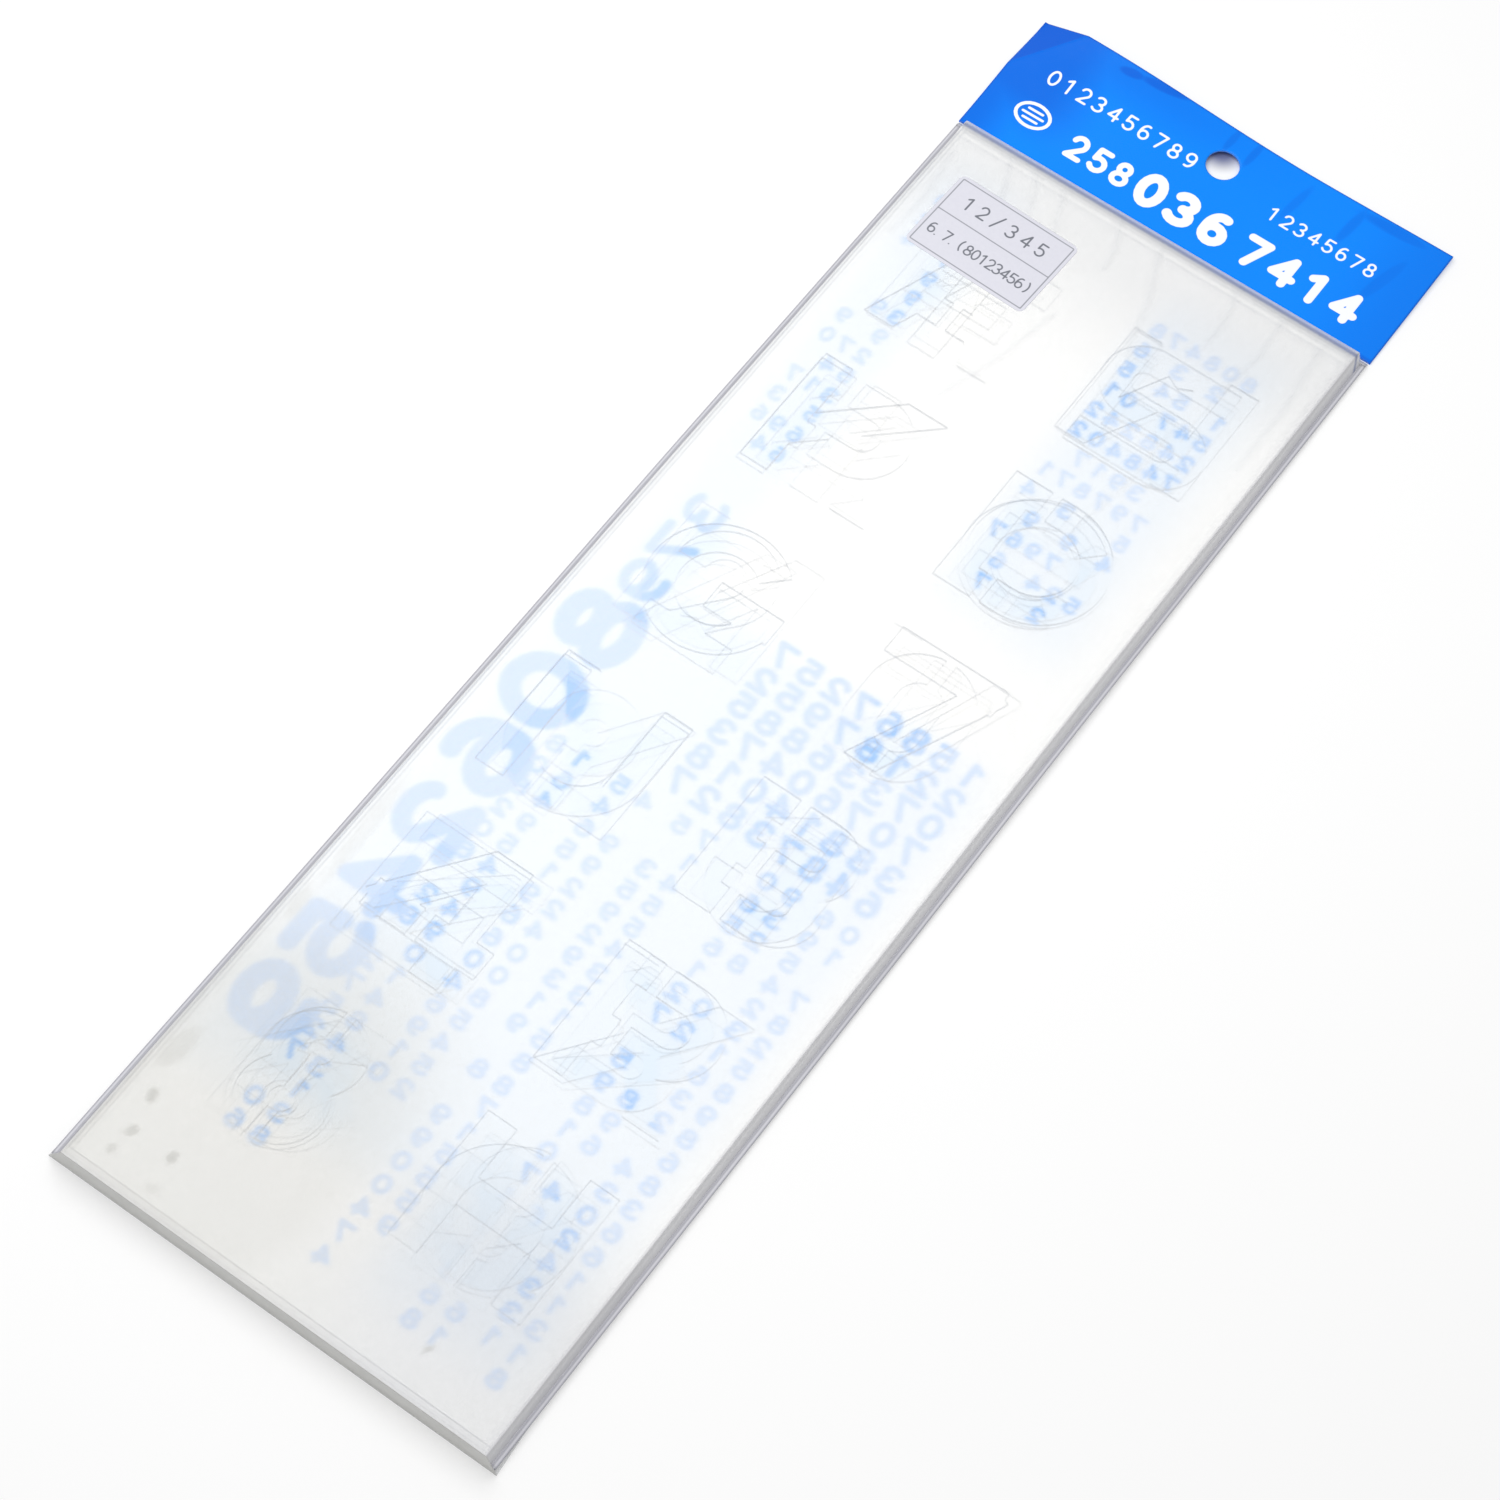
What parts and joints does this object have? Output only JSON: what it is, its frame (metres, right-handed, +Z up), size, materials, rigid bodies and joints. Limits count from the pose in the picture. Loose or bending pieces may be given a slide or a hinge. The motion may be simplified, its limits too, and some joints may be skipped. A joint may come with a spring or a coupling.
{
  "type": "lettering stencil set",
  "caption": "Flat stack of milky lettering stencil plates with cut-out characters, in a clear film bag with a blue hanging header, a hang hole and a fold-over closing flap.",
  "frame": {"origin": "middle of the underside, where the set lies on a table", "axes": "+X across the plates to the right, +Y along the plates from the bag's mouth to the header, +Z up through the front film"},
  "size_m": [0.1068, 0.341, 0.0069],
  "materials": {
    "clear_film": "clear gloss",
    "printed_film": "clear gloss with blue print",
    "milky_plate": "translucent satin",
    "header_blue": "gloss",
    "label": "matte",
    "tape": "clear gloss"
  },
  "bodies": {
    "bag": {"front_film": "clear_film", "back_film": "printed_film", "left_seam": "clear_film", "right_seam": "clear_film", "head_seam": "clear_film", "label": "label"},
    "lip": {"mouth_lip": "clear_film"},
    "flap": {"closing_flap": "clear_film", "flap_tape": "tape"},
    "header": {"header_front": "header_blue", "header_core": "clear_film", "header_back": "header_blue"},
    "plate_1": {"stencil_plate_1": "milky_plate"},
    "plate_2": {"stencil_plate_2": "milky_plate"},
    "plate_3": {"stencil_plate_3": "milky_plate"},
    "plate_4": {"stencil_plate_4": "milky_plate"},
    "plate_5": {"stencil_plate_5": "milky_plate"},
    "plate_6": {"stencil_plate_6": "milky_plate"},
    "plate_7": {"stencil_plate_7": "milky_plate"},
    "plate_8": {"stencil_plate_8": "milky_plate"}
  },
  "joints": [
    {"name": "lip_hinge", "type": "hinge", "parent": "bag", "child": "lip", "pos_m": [0, -0.1704, 0.00685], "axis": [-1, 0, 0], "range_deg": [0, 180]},
    {"name": "flap_hinge", "type": "hinge", "parent": "lip", "child": "flap", "pos_m": [0, -0.1705, 0.00013], "axis": [-1, 0, 0], "range_deg": [0, 180]},
    {"name": "header_hinge", "type": "hinge", "parent": "bag", "child": "header", "pos_m": [0, 0.1357, 0.0003], "axis": [1, 0, 0], "range_deg": [0, 110]},
    {"name": "plate_1_slide", "type": "slide", "parent": "bag", "child": "plate_1", "axis": [0, 1, 0], "range_m": [-0.00179, 0.00083]},
    {"name": "plate_2_slide", "type": "slide", "parent": "bag", "child": "plate_2", "axis": [0, 1, 0], "range_m": [-0.0009, 0.00195]},
    {"name": "plate_3_slide", "type": "slide", "parent": "bag", "child": "plate_3", "axis": [0, 1, 0], "range_m": [-0.00229, 0.00078]},
    {"name": "plate_4_slide", "type": "slide", "parent": "bag", "child": "plate_4", "axis": [0, 1, 0], "range_m": [-0.0004, 0.00288]},
    {"name": "plate_5_slide", "type": "slide", "parent": "bag", "child": "plate_5", "axis": [0, 1, 0], "range_m": [-0.00209, 0.00142]},
    {"name": "plate_6_slide", "type": "slide", "parent": "bag", "child": "plate_6", "axis": [0, 1, 0], "range_m": [-0.00121, 0.00251]},
    {"name": "plate_7_slide", "type": "slide", "parent": "bag", "child": "plate_7", "axis": [0, 1, 0], "range_m": [-0.00069, 0.00325]},
    {"name": "plate_8_slide", "type": "slide", "parent": "bag", "child": "plate_8", "axis": [0, 1, 0], "range_m": [-0.002, 0.00217]}
  ]
}
